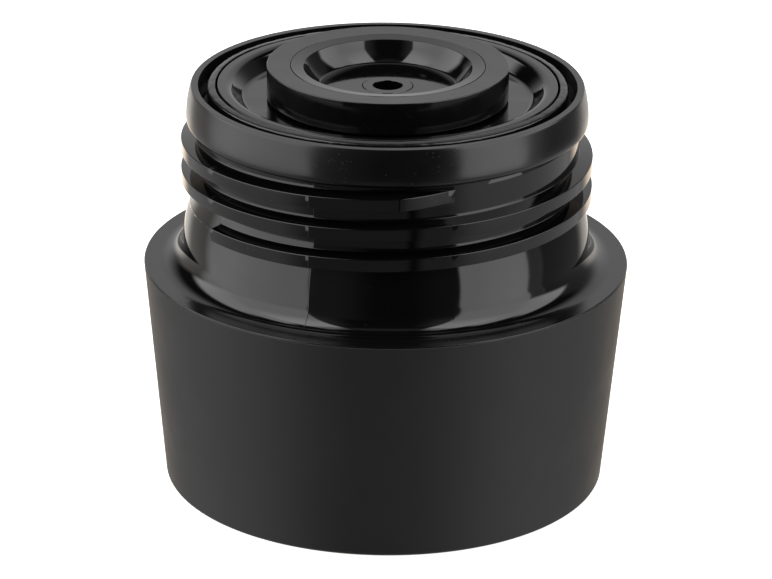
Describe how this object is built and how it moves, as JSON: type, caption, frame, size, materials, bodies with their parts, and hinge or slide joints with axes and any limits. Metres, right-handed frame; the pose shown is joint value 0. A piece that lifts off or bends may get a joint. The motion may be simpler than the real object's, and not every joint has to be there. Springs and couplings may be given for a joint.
{
  "type": "push-button jug stopper",
  "caption": "Screw-in stopper of an insulated jug, upside down on its tapered grip cap, with threaded neck, lip gasket, sprung valve plate and push button.",
  "frame": {"origin": "centre of the grip cap's rim, on the flat face that the stopper stands on", "axes": "+Z along the stopper's axis, from the grip cap's rim to the valve; -Y is the side where the latch pin hangs"},
  "size_m": [0.084, 0.084, 0.0748],
  "materials": {
    "matte_grip": "fine matte texture",
    "gloss_body": "polished moulding",
    "gasket_rubber": "satin",
    "seal_rubber": "matte",
    "bowl_plastic": "satin",
    "pad_plastic": "satin",
    "guide_plastic": "natural acetal",
    "steel": "drawn and zinc plated",
    "foam": "rigid foam"
  },
  "bodies": {
    "stopper": {"outer_cap": "matte_grip", "stopper_body": "gloss_body", "neck_gasket": "gasket_rubber", "plug_end": "gloss_body", "cap_insert": "bowl_plastic", "stem_guide": "guide_plastic", "spring_washer": "steel", "return_spring": "steel", "case_screw_1": "steel", "case_screw_2": "steel", "case_screw_3": "steel", "throat_o_ring": "seal_rubber", "bowl_seal": "seal_rubber", "neck_insulation": "foam", "cap_insulation": "foam"},
    "button": {"push_button": "matte_grip", "button_pad": "pad_plastic", "valve_stem": "gloss_body", "valve_plate": "gloss_body", "valve_seal": "seal_rubber", "stem_screw": "steel", "stem_o_ring": "seal_rubber", "latch_cam": "guide_plastic"},
    "pin": {"latch_pin": "steel"}
  },
  "joints": [
    {"name": "button_slide", "type": "slide", "parent": "stopper", "child": "button", "axis": [0, 0, 1], "range_m": [0, 0.005], "stiffness_N_per_m": 800, "springref_m": -0.004, "deforming": ["return_spring"]},
    {"name": "latch_swing", "type": "hinge", "parent": "stopper", "child": "pin", "pos_m": [0, -0.0127, 0.041], "axis": [0, 1, 0], "range_deg": [0, 8.7]}
  ],
  "couplings": [
    {"joint": "latch_swing", "follows": "button_slide", "rad_per_m": 30}
  ]
}
